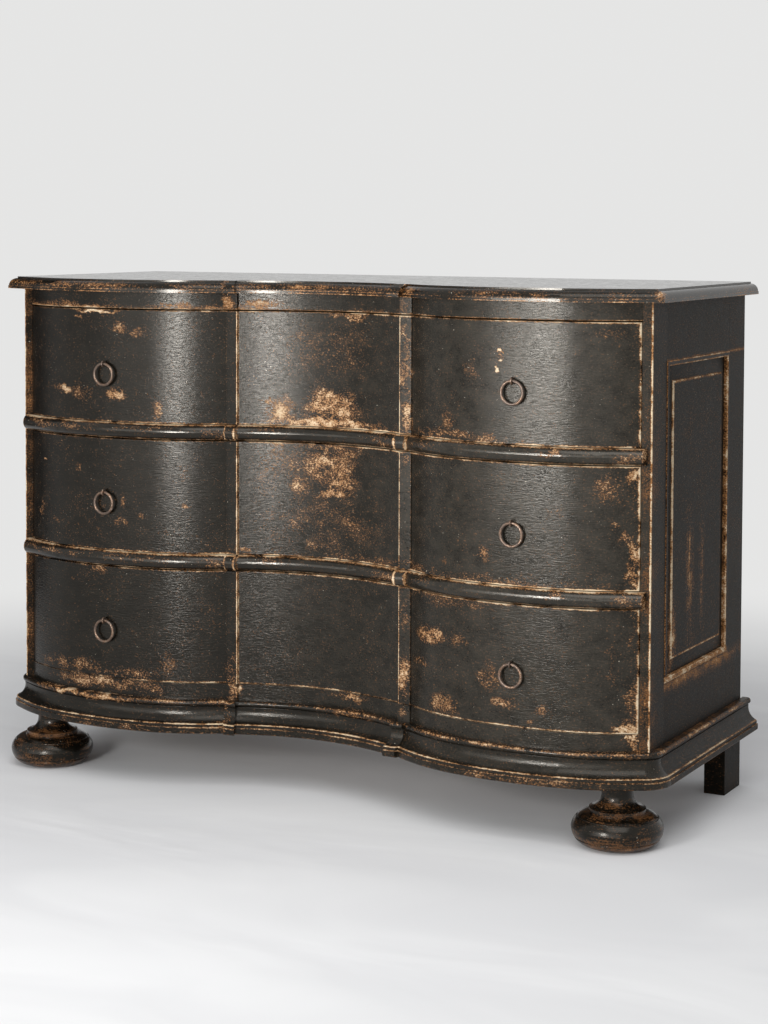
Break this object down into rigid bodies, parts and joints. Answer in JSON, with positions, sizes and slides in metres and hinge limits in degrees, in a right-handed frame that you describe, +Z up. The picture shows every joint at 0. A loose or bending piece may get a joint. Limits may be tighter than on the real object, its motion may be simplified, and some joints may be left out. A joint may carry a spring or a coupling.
{
  "type": "commode",
  "caption": "Serpentine-front commode in worn black paint: sliding drawers with iron ring pulls, framed side panels, moulded top and base, bun feet in front and square posts behind.",
  "frame": {"origin": "on the floor, under the middle of the overall box", "axes": "+X to the right of someone facing the front, +Y to the back, +Z up; the drawers open towards -Y"},
  "size_m": [1.256, 0.534, 0.876],
  "materials": {
    "painted_wood": "worn satin black paint",
    "bare_wood": "plain aged softwood",
    "iron": "rusty wrought iron"
  },
  "bodies": {
    "carcase": {"back_boards": "bare_wood", "back_rail_bottom": "bare_wood", "back_rail_top": "bare_wood", "base_moulding_front": "painted_wood", "base_moulding_left": "painted_wood", "base_moulding_right": "painted_wood", "bottom_board": "bare_wood", "bun_foot_left": "painted_wood", "bun_foot_right": "painted_wood", "drawer_stops": "bare_wood", "frieze_rail": "painted_wood", "front_stile_left": "painted_wood", "front_stile_right": "painted_wood", "kickers": "bare_wood", "lower_divider": "painted_wood", "lower_nosing": "painted_wood", "lower_runners": "bare_wood", "middle_runners": "bare_wood", "panel_bead_left": "painted_wood", "panel_bead_right": "painted_wood", "plinth_rail": "painted_wood", "rear_post_left": "painted_wood", "rear_post_right": "painted_wood", "side_bottom_rail_left": "painted_wood", "side_bottom_rail_right": "painted_wood", "side_panel_left": "painted_wood", "side_panel_right": "painted_wood", "side_top_rail_left": "painted_wood", "side_top_rail_right": "painted_wood", "top_end_left": "painted_wood", "top_end_right": "painted_wood", "top_front_board": "painted_wood", "top_panel": "painted_wood", "upper_divider": "painted_wood", "upper_nosing": "painted_wood", "upper_runners": "bare_wood"},
    "lower_drawer": {"lower_drawer_back": "bare_wood", "lower_drawer_bottom": "bare_wood", "lower_drawer_front": "painted_wood", "lower_drawer_side_left": "bare_wood", "lower_drawer_side_right": "bare_wood", "lower_drawer_staples": "iron"},
    "lower_ring_left": {"lower_ring_left": "iron"},
    "lower_ring_right": {"lower_ring_right": "iron"},
    "middle_drawer": {"middle_drawer_back": "bare_wood", "middle_drawer_bottom": "bare_wood", "middle_drawer_front": "painted_wood", "middle_drawer_side_left": "bare_wood", "middle_drawer_side_right": "bare_wood", "middle_drawer_staples": "iron"},
    "middle_ring_left": {"middle_ring_left": "iron"},
    "middle_ring_right": {"middle_ring_right": "iron"},
    "upper_drawer": {"upper_drawer_back": "bare_wood", "upper_drawer_bottom": "bare_wood", "upper_drawer_front": "painted_wood", "upper_drawer_side_left": "bare_wood", "upper_drawer_side_right": "bare_wood", "upper_drawer_staples": "iron"},
    "upper_ring_left": {"upper_ring_left": "iron"},
    "upper_ring_right": {"upper_ring_right": "iron"}
  },
  "joints": [
    {"name": "lower_drawer_slide", "type": "slide", "parent": "carcase", "child": "lower_drawer", "axis": [0, -1, 0], "range_m": [0, 0.3]},
    {"name": "lower_ring_left_swing", "type": "hinge", "parent": "lower_drawer", "child": "lower_ring_left", "pos_m": [-0.388, -0.24525, 0.28125], "axis": [-1, 0, 0], "range_deg": [-4, 170]},
    {"name": "lower_ring_right_swing", "type": "hinge", "parent": "lower_drawer", "child": "lower_ring_right", "pos_m": [0.388, -0.24525, 0.28125], "axis": [-1, 0, 0], "range_deg": [-4, 170]},
    {"name": "middle_drawer_slide", "type": "slide", "parent": "carcase", "child": "middle_drawer", "axis": [0, -1, 0], "range_m": [0, 0.3]},
    {"name": "middle_ring_left_swing", "type": "hinge", "parent": "middle_drawer", "child": "middle_ring_left", "pos_m": [-0.388, -0.24525, 0.50525], "axis": [-1, 0, 0], "range_deg": [-4, 170]},
    {"name": "middle_ring_right_swing", "type": "hinge", "parent": "middle_drawer", "child": "middle_ring_right", "pos_m": [0.388, -0.24525, 0.50525], "axis": [-1, 0, 0], "range_deg": [-4, 170]},
    {"name": "upper_drawer_slide", "type": "slide", "parent": "carcase", "child": "upper_drawer", "axis": [0, -1, 0], "range_m": [0, 0.3]},
    {"name": "upper_ring_left_swing", "type": "hinge", "parent": "upper_drawer", "child": "upper_ring_left", "pos_m": [-0.388, -0.24525, 0.72925], "axis": [-1, 0, 0], "range_deg": [-4, 170]},
    {"name": "upper_ring_right_swing", "type": "hinge", "parent": "upper_drawer", "child": "upper_ring_right", "pos_m": [0.388, -0.24525, 0.72925], "axis": [-1, 0, 0], "range_deg": [-4, 170]}
  ]
}
